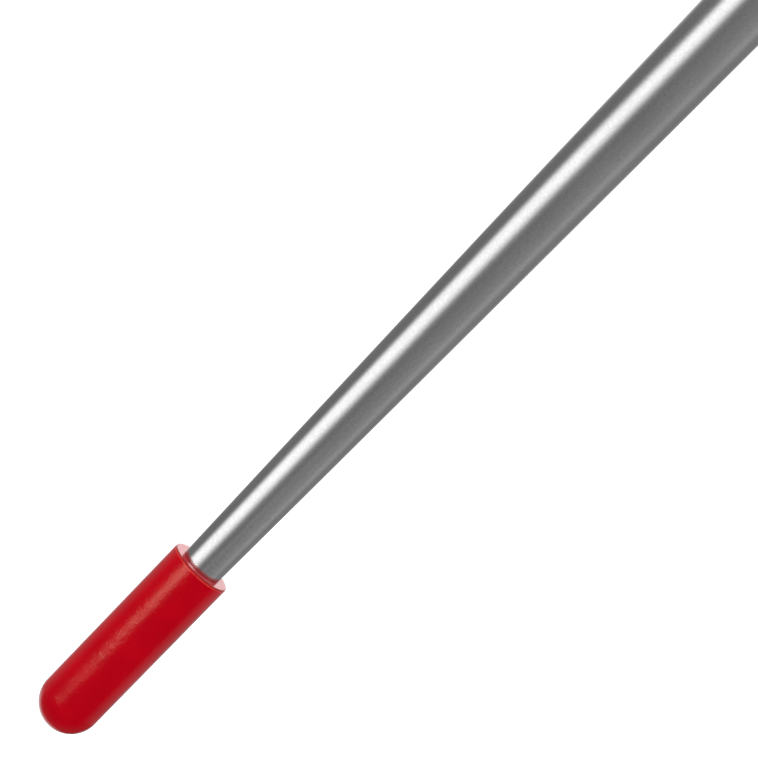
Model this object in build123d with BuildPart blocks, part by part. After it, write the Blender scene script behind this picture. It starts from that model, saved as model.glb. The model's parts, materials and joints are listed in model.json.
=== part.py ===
"""Post driver with a tapered pilot spike.

A closed steel tube with two welded handles slides on a guide rod. The rod carries
an anvil head inside the tube and a long, slightly ogival pilot spike below it. The
spike's ground point is covered by a red moulded cap that pulls off.

Frame: millimetres, +Z up along the driver's axis. The origin is the lowest point of
the tip cap's round end, on the axis. The two handles lie in the XZ plane.
"""
from build123d import *
import math
import os

# --- driving dimensions ------------------------------------------------------------

# tip cap
cap_length = 101.6          # round end to mouth face
cap_mouth_dia = 30.0
cap_end_dia = 29.6          # where the round end begins
cap_rim_radius = 0.9        # softened edge of the mouth
cap_floor = 11.0            # solid vinyl below the spike's point
cap_well_depth = 1.0        # room left under the point

# pilot spike
spike_small_dia = 19.9      # at the shoulder, just above the cap
spike_large_dia = 34.0      # at the depth collar
spike_length = 430.0        # from the cap's mouth to the depth collar
flank_bulge = 0.45          # how far the flank stands out of a straight cone
shoulder_chamfer = 0.25
spike_top_bevel = 0.6
nose_dia = 17.4             # plain length inside the cap, at the shoulder
nose_draft = 0.6            # how much narrower the nose is where its point begins
point_length = 34.0
point_flat = 1.6            # half width of the blunted point
facet_count = 4
facet_share = 0.25          # how far past the point's base a facet runs, of its length
facet_bite = 0.2            # depth of a facet's upper end in the nose

# depth collar and guide rod
collar_dia = 62.0
collar_height = 22.0
collar_flats = 54.0         # across the two spanner flats
collar_chamfer = 2.0
register_depth = 3.0        # recess in the collar's underside that takes the spike's end
rod_dia = 30.0
rod_chamfer = 1.0
stub_dia = 24.0             # screwed ends of the rod
stub_chamfer = 1.5
stub_depth = 34.0           # engagement in the spike
stub_clearance = 4.0        # drilled depth past a stub's end
lock_pin_dia = 6.0
lock_pin_length = 31.0
pin_bore_share = 0.275      # a spring pin's bore radius, of its diameter
pin_slit_share = 0.2        # its slit's width
pin_lead_share = 0.07       # the chamfer at its ends

# anvil head on the rod
head_dia = 62.0
head_height = 45.0
head_chamfer = 2.0
head_boss_dia = 48.0
head_boss_height = 8.0
head_stub_depth = 30.0
head_pin_dia = 8.0
head_pin_rise = 17.0        # from the head's underside
head_pin_length = 59.0
wear_ring_height = 12.0
wear_ring_drop = 18.0       # from the head's top to the groove's lower side
wear_ring_thickness = 3.3
wear_ring_gap = 0.25        # radial, to the tube's bore
wear_ring_split = 2.0
groove_depth = 1.5

# driver tube
tube_dia = 76.1
tube_wall = 5.0
tube_length = 560.0
collar_gap = 14.0           # depth collar to the mouth ring with the tube down
weld_prep = 3.0             # bevel at the top seam
vent_dia = 8.0
vent_turns = (0, 2)         # the screws' directions that have vents above them
vent_offset = 16.0          # lower vents above the circlip
vent_drop = 6.0             # upper vents below the top plug

# top plug and its weld
plug_depth = 70.0
plug_flange = 9.0
plug_lead = 2.0
plug_edge = 3.5
plug_dome = 1.2
weld_crown = 1.3

# mouth ring and its screws
mouth_ring_dia = 88.0
mouth_ring_height = 32.0
mouth_ring_chamfer = 3.0
mouth_lip = 6.0
mouth_opening_dia = 48.0
screw_count = 4
screw_dia = 8.0
screw_rise = 13.0           # above the tube's lower end
screw_stop = 0.6            # screw's end short of the bore
screw_sink = 2.5            # head's seat below the ring's outside
screw_head_dia = 14.0
screw_head_height = 4.4
screw_head_crown = 2.6      # bevel that stands for the button head's dome
screw_head_gap = 0.4
hexagon_flats = 5.0
hexagon_depth = 2.8

# bush, wiper, stop ring and circlip in the tube's mouth
bush_length = 40.0
bush_lead = 1.5
wiper_drop = 5.4            # below the tube's lower end
wiper_lip = 1.6
wiper_base = 3.2
wiper_web = 2.6
stop_ring_height = 8.0
stop_ring_gap = 1.0
circlip_thickness = 2.5
circlip_bite = 1.5          # depth of the circlip's groove in the tube
circlip_play = 0.1          # to each side of the groove
circlip_width = 4.6
circlip_mouth = 11.0
lug_dia = 6.0
lug_eye_dia = 2.5
lug_offset = 8.6
lug_inset = 4.2             # from the tube's bore to a lug's middle

# handles, their welds and grips
handle_dia = 22.0
handle_wall = 2.5
handle_reach = 98.0         # driver's axis to the grip's axis
handle_rise = 150.0         # tube's lower end to the lower foot
handle_height = 280.0       # between the feet
handle_bend = 38.0
weld_leg = 4.5
grip_dia = 31.0
grip_length = 128.0
grip_end_radius = 2.5
grip_grooves = 6
grip_groove_pitch = 18.0
grip_groove_size = 2.0      # side of the square that cuts each V groove

# clearances
push_fit = 0.05             # pieces that are pulled apart by hand
running_fit = 0.06          # pieces that slide or turn on each other
seat_gap = 0.02             # pieces that are fixed to each other
face_gap = 0.1              # end faces of pieces that move apart
stroke_margin = 1.0         # stop ring to the head at the top of the stroke

# --- levels along the axis and radii that follow ------------------------------------

tube_radius = tube_dia / 2
bore_radius = tube_radius - tube_wall
rod_radius = rod_dia / 2
stub_radius = stub_dia / 2
head_radius = head_dia / 2
ring_radius = mouth_ring_dia / 2
opening_radius = mouth_opening_dia / 2
small_radius = spike_small_dia / 2
large_radius = spike_large_dia / 2
nose_radius = nose_dia / 2
point_base_radius = nose_radius - nose_draft

mouth_z = cap_length
shoulder_z = mouth_z + push_fit
point_base_z = cap_floor + point_length
spike_top_z = mouth_z + spike_length
spike_end_z = spike_top_z + register_depth
spike_pin_z = spike_top_z - stub_depth / 2
collar_top_z = spike_top_z + collar_height
ring_bottom_z = collar_top_z + collar_gap
tube_bottom_z = ring_bottom_z + mouth_lip
ring_top_z = ring_bottom_z + mouth_ring_height
tube_top_z = tube_bottom_z + tube_length
plug_face_z = tube_top_z - plug_depth
plug_top_z = tube_top_z + plug_flange
head_top_z = plug_face_z - face_gap
head_bottom_z = head_top_z - head_height
head_pin_z = head_bottom_z + head_pin_rise
wear_ring_z = head_top_z - wear_ring_drop
bush_bottom_z = tube_bottom_z + face_gap
stop_ring_z = bush_bottom_z + bush_length
stop_ring_top_z = stop_ring_z + stop_ring_height
circlip_z = stop_ring_top_z + face_gap
screw_z = tube_bottom_z + screw_rise
screw_seat = ring_radius - screw_sink
vent_low_z = circlip_z + vent_offset
vent_high_z = plug_face_z - vent_drop
handle_low_z = tube_bottom_z + handle_rise
handle_high_z = handle_low_z + handle_height
grip_mid_z = (handle_low_z + handle_high_z) / 2
stroke = head_bottom_z - stop_ring_top_z - stroke_margin


def save(piece, name):
    """Labels a finished piece and writes it as one STEP file."""
    piece.part.label = name
    export_step(piece.part, f"parts/{name}.step")


def circles(piece, radius):
    """The piece's circular edges of that radius."""
    return piece.edges().filter_by(GeomType.CIRCLE).filter_by(
        lambda edge: abs(edge.radius - radius) < 0.01
    )


def turned(outline):
    """A solid of revolution about Z from a closed outline of (radius, height) points."""
    with BuildPart() as body:
        with BuildSketch(Plane.XZ):
            with BuildLine():
                Polyline(*outline, close=True)
            make_face()
        revolve(axis=Axis.Z)
    return body


def screw_plane(turn):
    """A plane through the axis whose normal points at one of the mouth's screws."""
    return Plane.YZ.rotated((0, 0, 45 + 360 / screw_count * turn))


# --- tip cap: red moulded vinyl, round end, flat mouth that the spike's shoulder meets
def make_tip_cap():
    end_radius = cap_end_dia / 2
    with BuildPart() as cap:
        with BuildSketch(Plane.XZ):
            with BuildLine():
                round_end = CenterArc((0, end_radius), end_radius, -90, 90)
                Polyline(
                    round_end @ 1,
                    (cap_mouth_dia / 2, mouth_z),
                    (nose_radius + push_fit, mouth_z),
                    (point_base_radius + push_fit, point_base_z),
                    (point_flat * 2, cap_floor - cap_well_depth),
                    (0, cap_floor - cap_well_depth),
                    round_end @ 0,
                )
            make_face()
        revolve(axis=Axis.Z)
        fillet(circles(cap, cap_mouth_dia / 2), cap_rim_radius)
    return cap


# --- pilot spike: ogival flank, shoulder above the cap, four-sided point ------------
def make_pilot_spike():
    flank_low_z = shoulder_z + shoulder_chamfer
    flank_mid_z = (flank_low_z + spike_top_z) / 2
    facet_top = point_base_z + facet_share * point_length
    facet_reach = nose_radius + 1
    with BuildPart() as spike:
        with BuildSketch(Plane.XZ):
            with BuildLine():
                flank = Bezier(
                    (small_radius, flank_low_z),
                    ((small_radius + large_radius) / 2 + 2 * flank_bulge, flank_mid_z),
                    (large_radius, spike_top_z),
                )
                Polyline(
                    flank @ 1,
                    (large_radius, spike_end_z - spike_top_bevel),
                    (large_radius - spike_top_bevel, spike_end_z),
                    (0, spike_end_z),
                    (0, cap_floor),
                    (point_flat, cap_floor),
                    (point_base_radius, point_base_z),
                    (nose_radius, shoulder_z),
                    (small_radius - shoulder_chamfer, shoulder_z),
                    flank @ 0,
                )
            make_face()
        revolve(axis=Axis.Z)
        # flat facets, ground so that they meet at the blunted point
        for turn in range(facet_count):
            with BuildSketch(Plane.XZ.rotated((0, 0, 360 / facet_count * turn))):
                with BuildLine():
                    Polyline(
                        (point_flat * math.cos(math.pi / facet_count), cap_floor - 1),
                        (facet_reach, cap_floor - 1),
                        (facet_reach, facet_top),
                        (nose_radius - facet_bite, facet_top),
                        close=True,
                    )
                make_face()
            extrude(amount=facet_reach, both=True, mode=Mode.SUBTRACT)
        with BuildSketch(Plane.XY.offset(spike_end_z)):
            Circle(stub_radius + seat_gap)
        extrude(amount=-(register_depth + stub_depth + stub_clearance), mode=Mode.SUBTRACT)
        with BuildSketch(Plane.XZ):
            with Locations((0, spike_pin_z)):
                Circle(lock_pin_dia / 2 + seat_gap)
        extrude(amount=spike_large_dia, both=True, mode=Mode.SUBTRACT)
    return spike


# --- depth collar: clamped between the spike and the rod, with spanner flats --------
def make_depth_collar():
    with BuildPart() as collar:
        with BuildSketch(Plane.XY.offset(spike_top_z)):
            Circle(collar_dia / 2)
            Circle(stub_radius + seat_gap, mode=Mode.SUBTRACT)
        extrude(amount=collar_height)
        chamfer(circles(collar, collar_dia / 2), collar_chamfer)
        with BuildSketch(Plane.XY.offset(spike_top_z)):
            Rectangle(collar_flats, collar_dia)
        extrude(amount=collar_height, mode=Mode.INTERSECT)
        with BuildSketch(Plane.XY.offset(spike_top_z)):
            Circle(large_radius + seat_gap)
        extrude(amount=register_depth + seat_gap, mode=Mode.SUBTRACT)
    return collar


# --- guide rod: ground bar with a screwed stub at each end --------------------------
def make_guide_rod():
    with BuildPart() as rod:
        with BuildSketch(Plane.XY.offset(collar_top_z)):
            Circle(rod_radius)
        extrude(amount=head_bottom_z - collar_top_z)
        chamfer(circles(rod, rod_radius), rod_chamfer)
        with BuildSketch(Plane.XY.offset(spike_top_z - stub_depth)):
            Circle(stub_radius)
        extrude(amount=stub_depth + collar_height)
        with BuildSketch(Plane.XY.offset(head_bottom_z)):
            Circle(stub_radius)
        extrude(amount=head_stub_depth)
        stub_ends = circles(rod, stub_radius).sort_by(Axis.Z)
        chamfer([stub_ends[0], stub_ends[-1]], stub_chamfer)
        with BuildSketch(Plane.XZ):
            with Locations((0, spike_pin_z)):
                Circle(lock_pin_dia / 2 + seat_gap)
            with Locations((0, head_pin_z)):
                Circle(head_pin_dia / 2 + seat_gap)
        extrude(amount=rod_dia, both=True, mode=Mode.SUBTRACT)
    return rod


# --- anvil head: takes the blow inside the tube, and stops the upward stroke --------
def make_anvil_head():
    shoulder = head_bottom_z + head_boss_height
    groove_radius = head_radius - groove_depth
    socket_radius = stub_radius + seat_gap
    socket_top = head_bottom_z + head_stub_depth + stub_clearance
    with BuildPart() as head:
        with BuildSketch(Plane.XZ):
            with BuildLine():
                Polyline(
                    (0, socket_top),
                    (socket_radius, socket_top),
                    (socket_radius, head_bottom_z),
                    (head_boss_dia / 2, head_bottom_z),
                    (head_boss_dia / 2, shoulder),
                    (head_radius - head_chamfer, shoulder),
                    (head_radius, shoulder + head_chamfer),
                    (head_radius, wear_ring_z),
                    (groove_radius, wear_ring_z),
                    (groove_radius, wear_ring_z + wear_ring_height),
                    (head_radius, wear_ring_z + wear_ring_height),
                    (head_radius, head_top_z - head_chamfer),
                    (head_radius - head_chamfer, head_top_z),
                    (0, head_top_z),
                    close=True,
                )
            make_face()
        revolve(axis=Axis.Z)
        with BuildSketch(Plane.XZ):
            with Locations((0, head_pin_z)):
                Circle(head_pin_dia / 2 + seat_gap)
        extrude(amount=head_dia, both=True, mode=Mode.SUBTRACT)
    return head


# --- wear ring: split nylon band that centres the head in the tube ------------------
def make_wear_ring():
    outer = bore_radius - wear_ring_gap
    with BuildPart() as ring:
        with BuildSketch(Plane.XY.offset(wear_ring_z + seat_gap)):
            Circle(outer)
            Circle(outer - wear_ring_thickness + seat_gap, mode=Mode.SUBTRACT)
            with Locations(Location((0, outer), 30)):
                Rectangle(wear_ring_split, 4 * wear_ring_thickness, mode=Mode.SUBTRACT)
        extrude(amount=wear_ring_height - 2 * seat_gap)
    return ring


# --- slotted spring pins that lock the two screwed joints ---------------------------
def make_spring_pin(dia, length, z):
    """A slotted spring pin along Y, its middle on the axis at height z."""
    with BuildPart() as pin:
        with BuildSketch(Plane.XZ.offset(-length / 2)):
            with Locations((0, z)):
                Circle(dia / 2)
                Circle(pin_bore_share * dia, mode=Mode.SUBTRACT)
            with Locations((0, z + dia / 2)):
                Rectangle(pin_slit_share * dia, dia, mode=Mode.SUBTRACT)
        extrude(amount=length)
        chamfer(circles(pin, dia / 2), pin_lead_share * dia)
    return pin


# --- driver tube: bevelled for the top seam, vented, grooved for the circlip --------
def make_driver_tube():
    with BuildPart() as tube:
        with BuildSketch(Plane.XY.offset(tube_bottom_z)):
            Circle(tube_radius)
            Circle(bore_radius, mode=Mode.SUBTRACT)
        extrude(amount=tube_length)
        chamfer(circles(tube, tube_radius).sort_by(Axis.Z)[-1], weld_prep)
        with BuildSketch(Plane.XY.offset(circlip_z)):
            Circle(bore_radius + circlip_bite)
            Circle(bore_radius - circlip_bite, mode=Mode.SUBTRACT)
        extrude(amount=circlip_thickness + 2 * circlip_play, mode=Mode.SUBTRACT)
        for turn in range(screw_count):
            with BuildSketch(screw_plane(turn)):
                with Locations((0, screw_z)):
                    Circle(screw_dia / 2 + seat_gap)
                if turn in vent_turns:
                    with Locations((0, vent_low_z), (0, vent_high_z)):
                        Circle(vent_dia / 2)
            extrude(amount=tube_dia, mode=Mode.SUBTRACT)
    return tube


# --- top plug: solid striker that closes the tube -----------------------------------
def make_top_plug():
    inner = bore_radius - seat_gap
    dome_radius = (tube_radius**2 + plug_dome**2) / (2 * plug_dome)
    dome_angle = math.degrees(math.asin(tube_radius / dome_radius))
    with BuildPart() as plug:
        with BuildSketch(Plane.XZ):
            with BuildLine():
                dome = CenterArc(
                    (0, plug_top_z + plug_dome - dome_radius),
                    dome_radius,
                    90 - dome_angle,
                    dome_angle,
                )
                Polyline(
                    dome @ 1,
                    (0, plug_face_z),
                    (inner - plug_lead, plug_face_z),
                    (inner, plug_face_z + plug_lead),
                    (inner, tube_top_z),
                    (tube_radius - weld_prep, tube_top_z),
                    (tube_radius, tube_top_z + weld_prep),
                    dome @ 0,
                )
            make_face()
        revolve(axis=Axis.Z)
        fillet(circles(plug, tube_radius).sort_by(Axis.Z)[-1], plug_edge)
    return plug


# --- top weld: bead that fills the bevelled seam ------------------------------------
def make_top_weld():
    low = (tube_radius, tube_top_z - weld_prep)
    high = (tube_radius, tube_top_z + weld_prep)
    with BuildPart() as bead:
        with BuildSketch(Plane.XZ):
            with BuildLine():
                Polyline(high, (tube_radius - weld_prep, tube_top_z), low)
                ThreePointArc(low, (tube_radius + weld_crown, tube_top_z), high)
            make_face()
        revolve(axis=Axis.Z)
    return bead


# --- mouth ring: sleeve over the tube's end with a lip that holds the bush ----------
def make_mouth_ring():
    sleeve = tube_radius + seat_gap
    with BuildPart() as ring:
        with BuildSketch(Plane.XZ):
            with BuildLine():
                Polyline(
                    (opening_radius, ring_bottom_z),
                    (ring_radius - mouth_ring_chamfer, ring_bottom_z),
                    (ring_radius, ring_bottom_z + mouth_ring_chamfer),
                    (ring_radius, ring_top_z - mouth_ring_chamfer),
                    (ring_radius - mouth_ring_chamfer, ring_top_z),
                    (sleeve, ring_top_z),
                    (sleeve, tube_bottom_z),
                    (opening_radius, tube_bottom_z),
                    close=True,
                )
            make_face()
        revolve(axis=Axis.Z)
        for turn in range(screw_count):
            with BuildSketch(screw_plane(turn)):
                with Locations((0, screw_z)):
                    Circle(screw_dia / 2 + seat_gap)
            extrude(amount=mouth_ring_dia, mode=Mode.SUBTRACT)
            with BuildSketch(screw_plane(turn).offset(screw_seat)):
                with Locations((0, screw_z)):
                    Circle(screw_head_dia / 2 + screw_head_gap)
            extrude(amount=mouth_ring_dia, mode=Mode.SUBTRACT)
    return ring


# --- mouth screws: button heads with a hexagon socket, seated in the ring -----------
def make_mouth_screws():
    shank_start = bore_radius + screw_stop
    with BuildPart() as screws:
        for turn in range(screw_count):
            with BuildSketch(screw_plane(turn).offset(shank_start)):
                with Locations((0, screw_z)):
                    Circle(screw_dia / 2)
            extrude(amount=screw_seat - shank_start)
            with BuildSketch(screw_plane(turn).offset(screw_seat)):
                with Locations((0, screw_z)):
                    Circle(screw_head_dia / 2)
            extrude(amount=screw_head_height)
        crowns = circles(screws, screw_head_dia / 2).filter_by(
            lambda edge: math.hypot(edge.arc_center.X, edge.arc_center.Y) > screw_seat + 1
        )
        chamfer(crowns, screw_head_crown)
        for turn in range(screw_count):
            with BuildSketch(screw_plane(turn).offset(screw_seat + screw_head_height)):
                with Locations((0, screw_z)):
                    RegularPolygon(hexagon_flats / 2, 6, major_radius=False)
            extrude(amount=-hexagon_depth, mode=Mode.SUBTRACT)
    return screws


# --- guide bush, wiper and stop ring in the tube's mouth ----------------------------
def make_mouth_bush():
    inner, outer = rod_radius + running_fit, bore_radius - running_fit
    top = stop_ring_z - face_gap
    return turned([
        (inner + bush_lead, bush_bottom_z),
        (outer - bush_lead, bush_bottom_z),
        (outer, bush_bottom_z + bush_lead),
        (outer, top),
        (inner + bush_lead, top),
        (inner, top - bush_lead),
        (inner, bush_bottom_z + bush_lead),
    ])


def make_wiper_seal():
    inner, outer = rod_radius + running_fit, opening_radius - seat_gap
    tip = tube_bottom_z - wiper_drop
    web = tip + wiper_web
    return turned([
        (inner, tip),
        (inner + wiper_lip, tip),
        (inner + wiper_base, web),
        (outer, web),
        (outer, tube_bottom_z),
        (inner, tube_bottom_z),
    ])


def make_stop_ring():
    inner, outer = rod_radius + stop_ring_gap, bore_radius - seat_gap
    return turned([
        (inner, stop_ring_z),
        (outer, stop_ring_z),
        (outer, stop_ring_top_z),
        (inner, stop_ring_top_z),
    ])


# --- circlip: open ring in the tube's groove, with two eyed lugs --------------------
def make_circlip():
    outer = bore_radius + circlip_bite - circlip_play
    lug_y = bore_radius - lug_inset
    lugs = [(-lug_offset, lug_y), (lug_offset, lug_y)]
    with BuildPart() as clip:
        with BuildSketch(Plane.XY.offset(circlip_z + circlip_play)):
            Circle(outer)
            Circle(outer - circlip_width, mode=Mode.SUBTRACT)
            with Locations((0, outer)):
                Rectangle(circlip_mouth, 3 * circlip_width, mode=Mode.SUBTRACT)
            with Locations(*lugs):
                Circle(lug_dia / 2)
            with Locations(*lugs):
                Circle(lug_eye_dia / 2, mode=Mode.SUBTRACT)
        extrude(amount=circlip_thickness)
    return clip


# --- handles: bent tube, coped to the driver tube at both feet ----------------------
def make_handle(side):
    """A D-shaped handle on the +X side (side 1) or the -X side (side -1)."""
    with BuildPart() as handle:
        with BuildLine(Plane.XZ):
            path = FilletPolyline(
                (side * bore_radius, handle_low_z),
                (side * handle_reach, handle_low_z),
                (side * handle_reach, handle_high_z),
                (side * bore_radius, handle_high_z),
                radius=handle_bend,
            )
        with BuildSketch(Plane(origin=path @ 0, z_dir=path % 0)):
            Circle(handle_dia / 2)
            Circle(handle_dia / 2 - handle_wall, mode=Mode.SUBTRACT)
        sweep()
        with BuildSketch(Plane.XY.offset(tube_bottom_z)):
            Circle(tube_radius + seat_gap)
        extrude(amount=tube_length, mode=Mode.SUBTRACT)
    return handle


# --- handle welds: a fillet bead round each foot ------------------------------------
def make_handle_welds():
    foot_radius = handle_dia / 2 + seat_gap
    root_x, toe_x = bore_radius - 1, tube_radius - weld_leg / 2
    throat_x = tube_radius + weld_leg
    with BuildPart() as welds:
        for side in (-1, 1):
            for foot_z in (handle_low_z, handle_high_z):
                inner_z, outer_z = foot_z + foot_radius, foot_z + foot_radius + weld_leg
                with BuildSketch(Plane.XZ):
                    with BuildLine():
                        Polyline(
                            (side * throat_x, inner_z),
                            (side * root_x, inner_z),
                            (side * root_x, outer_z),
                            (side * toe_x, outer_z),
                            close=True,
                        )
                    make_face()
                revolve(axis=Axis((0, 0, foot_z), (side, 0, 0)))
        with BuildSketch(Plane.XY.offset(tube_bottom_z)):
            Circle(tube_radius + seat_gap)
        extrude(amount=tube_length, mode=Mode.SUBTRACT)
    return welds


# --- grips: grooved vinyl sleeves with rounded ends ---------------------------------
def make_grip(side):
    """A sleeve on the straight of the handle on that side."""
    axis_x, outer = side * handle_reach, grip_dia / 2
    with BuildPart() as grip:
        with BuildSketch(Plane.XY.offset(grip_mid_z - grip_length / 2)):
            with Locations((axis_x, 0)):
                Circle(outer)
                Circle(handle_dia / 2 + seat_gap, mode=Mode.SUBTRACT)
        extrude(amount=grip_length)
        fillet(circles(grip, outer), grip_end_radius)
        with BuildSketch(Plane.XZ):
            for k in range(grip_grooves):
                groove_z = grip_mid_z + (k - (grip_grooves - 1) / 2) * grip_groove_pitch
                with Locations((axis_x + outer, groove_z)):
                    Rectangle(grip_groove_size, grip_groove_size, rotation=45)
        revolve(axis=Axis((axis_x, 0, 0), (0, 0, 1)), mode=Mode.SUBTRACT)
    return grip


os.makedirs("parts", exist_ok=True)

save(make_tip_cap(), "tip_cap")
save(make_pilot_spike(), "pilot_spike")
save(make_depth_collar(), "depth_collar")
save(make_guide_rod(), "guide_rod")
save(make_spring_pin(lock_pin_dia, lock_pin_length, spike_pin_z), "spike_lock_pin")
save(make_anvil_head(), "anvil_head")
save(make_spring_pin(head_pin_dia, head_pin_length, head_pin_z), "head_lock_pin")
save(make_wear_ring(), "wear_ring")
save(make_driver_tube(), "driver_tube")
save(make_top_plug(), "top_plug")
save(make_top_weld(), "top_weld")
save(make_mouth_ring(), "mouth_ring")
save(make_mouth_screws(), "mouth_screws")
save(make_mouth_bush(), "mouth_bush")
save(make_wiper_seal(), "wiper_seal")
save(make_stop_ring(), "stop_ring")
save(make_circlip(), "circlip")
for side, hand in ((1, "right"), (-1, "left")):
    save(make_handle(side), f"handle_{hand}")
    save(make_grip(side), f"grip_{hand}")
save(make_handle_welds(), "handle_welds")

print("stroke", round(stroke, 2), "plug face", plug_face_z, "collar seat", spike_top_z)
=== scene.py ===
"""Looks of a post driver: a handled steel tube on a rod, above a capped pilot spike.

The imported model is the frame. The tip cap, the spike, the mouth screws, the grips and
the weld beads are surfaces worked out here from the frame's boxes; the other nodes keep
their own meshes and get materials. Metres throughout, +Z up along the driver's axis.
"""
import json
import math

import bpy
import numpy as np
from mathutils import Matrix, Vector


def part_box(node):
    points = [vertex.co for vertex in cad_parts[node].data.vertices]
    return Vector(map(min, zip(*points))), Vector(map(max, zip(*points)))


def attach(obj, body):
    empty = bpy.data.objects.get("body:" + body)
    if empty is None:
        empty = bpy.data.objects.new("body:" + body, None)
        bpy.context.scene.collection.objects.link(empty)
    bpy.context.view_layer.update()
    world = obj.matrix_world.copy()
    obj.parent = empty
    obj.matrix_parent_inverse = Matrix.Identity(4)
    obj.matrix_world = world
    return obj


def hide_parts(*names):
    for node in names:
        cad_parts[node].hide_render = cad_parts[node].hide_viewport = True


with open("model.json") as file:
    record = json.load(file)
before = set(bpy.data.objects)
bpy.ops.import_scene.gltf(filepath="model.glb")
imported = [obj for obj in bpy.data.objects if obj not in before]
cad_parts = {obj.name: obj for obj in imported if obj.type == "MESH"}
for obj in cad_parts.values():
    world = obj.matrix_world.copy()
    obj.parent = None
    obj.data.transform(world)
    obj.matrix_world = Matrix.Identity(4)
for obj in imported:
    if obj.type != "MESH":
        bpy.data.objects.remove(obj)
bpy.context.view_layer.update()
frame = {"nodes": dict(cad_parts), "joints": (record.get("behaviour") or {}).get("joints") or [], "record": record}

MM = 0.001

# --- measures taken from the frame --------------------------------------------------


def box(node):
    """A node's lowest and highest corner as arrays."""
    low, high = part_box(node)
    return np.array(low), np.array(high)


def radius_of(node):
    """Half of a turned node's width across X."""
    low, high = box(node)
    return (high[0] - low[0]) / 2


joint_range = {j["name"]: j.get("range_m") for j in frame["joints"]}

CAP_TOP = box("tip_cap")[1][2]
SPIKE_LOW = box("pilot_spike")[0][2]
SPIKE_HIGH = box("pilot_spike")[1][2]
SPIKE_LARGE = radius_of("pilot_spike")
COLLAR_SEAT = box("depth_collar")[0][2]
PIN_Z = (box("spike_lock_pin")[0][2] + box("spike_lock_pin")[1][2]) / 2
PIN_R = radius_of("spike_lock_pin")
TUBE_R = radius_of("driver_tube")
TUBE_TOP = box("driver_tube")[1][2]
HANDLE_X = (box("grip_right")[0][0] + box("grip_right")[1][0]) / 2
HANDLE_R = (box("handle_right")[1][1] - box("handle_right")[0][1]) / 2
FOOT_LOW = box("handle_right")[0][2] + HANDLE_R
FOOT_HIGH = box("handle_right")[1][2] - HANDLE_R

# proportions of the cap and of the spike's lower end
CAP_MOUTH_R = 15.0 * MM
CAP_END_R = 14.8 * MM
CAP_RIM = 0.9 * MM
PUSH_FIT = 0.05 * MM
CAP_WELL = 1.0 * MM
SPIKE_SMALL = 9.95 * MM
SHOULDER_Z = CAP_TOP + PUSH_FIT
SHOULDER_EDGE = 0.25 * MM
FLANK_BULGE = 0.45 * MM
TOP_BEVEL = 0.6 * MM
SEAT_GAP = 0.02 * MM
NOSE_R = 8.7 * MM
NOSE_DRAFT = 0.6 * MM
POINT_LENGTH = 34.0 * MM
POINT_FLAT = 1.6 * MM
FACETS = 4
FACET_SHARE = 0.25
FACET_BITE = 0.2 * MM
HOLE_BAND = 0.02            # share of the flank round the pin's hole with close rows
FOOT_ROWS = (0.0003, 0.0009)    # shares of close rows at the flank's foot
SPIKE_SHARP = 20            # degrees from which an edge of the spike is sharp

# --- surfaces -----------------------------------------------------------------------


def arc(centre, radius, start, end, count):
    """Points on a circle: centre + radius * (cos a, sin a), a from start to end degrees."""
    a = np.radians(np.linspace(start, end, count))
    return np.column_stack([centre[0] + radius * np.cos(a), centre[1] + radius * np.sin(a)])


def line(start, end, count):
    """Points from start to end: start + t * (end - start), t from 0 to 1."""
    t = np.linspace(0, 1, count)[:, None]
    return np.array(start) * (1 - t) + np.array(end) * t


def joined(*stretches):
    """Stretches of an outline end to end, without the points that repeat."""
    points = np.vstack(stretches)
    step = np.linalg.norm(np.diff(points, axis=0), axis=1)
    return points[np.concatenate([[True], step > 1e-8])]


def mesh_object(name, vertices, faces, sharp=32):
    """An object at the origin from vertices and a list of face arrays."""
    mesh = bpy.data.meshes.new(name)
    loops = np.concatenate([f.ravel() for f in faces])
    sizes = np.concatenate([np.full(len(f), f.shape[1]) for f in faces])
    starts = np.concatenate([[0], np.cumsum(sizes)[:-1]])
    mesh.vertices.add(len(vertices))
    mesh.vertices.foreach_set("co", np.asarray(vertices, dtype=np.float32).ravel())
    mesh.loops.add(len(loops))
    mesh.loops.foreach_set("vertex_index", loops.astype(np.int32))
    mesh.polygons.add(len(sizes))
    mesh.polygons.foreach_set("loop_start", starts.astype(np.int32))
    mesh.polygons.foreach_set("use_smooth", np.ones(len(sizes), dtype=bool))
    mesh.update(calc_edges=True)
    mesh.validate()
    mesh.set_sharp_from_angle(angle=math.radians(sharp))
    piece = bpy.data.objects.new(name, mesh)
    bpy.context.scene.collection.objects.link(piece)
    return piece


def closed_grid(grid, low_pole=None, high_pole=None, wrap_rows=False):
    """Vertices and face arrays of a grid of rows by columns that closes round its columns.

    Rows run up the outside, columns run anticlockwise seen from above. A pole closes
    the first or last row to one point; wrap_rows joins the last row to the first.
    """
    rows, columns = grid.shape[:2]
    index = np.arange(rows * columns).reshape(rows, columns)
    if wrap_rows:
        index = np.vstack([index, index[:1]])
    right = np.roll(index, -1, axis=1)
    quads = np.stack([index[:-1], right[:-1], right[1:], index[1:]], axis=-1).reshape(-1, 4)
    vertices, faces = [grid.reshape(-1, 3)], [quads]
    extra = rows * columns
    if low_pole is not None:
        vertices.append(np.array([low_pole]))
        faces.append(np.stack([right[0], index[0], np.full(columns, extra)], axis=-1))
        extra += 1
    if high_pole is not None:
        vertices.append(np.array([high_pole]))
        faces.append(np.stack([index[-1], right[-1], np.full(columns, extra)], axis=-1))
    return np.vstack(vertices), faces


def together(parts):
    """The vertices and face arrays of several closed grids as one pair."""
    vertices, faces, first = [], [], 0
    for points, cells in parts:
        vertices.append(points)
        faces += [cell + first for cell in cells]
        first += len(points)
    return np.vstack(vertices), faces


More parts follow.
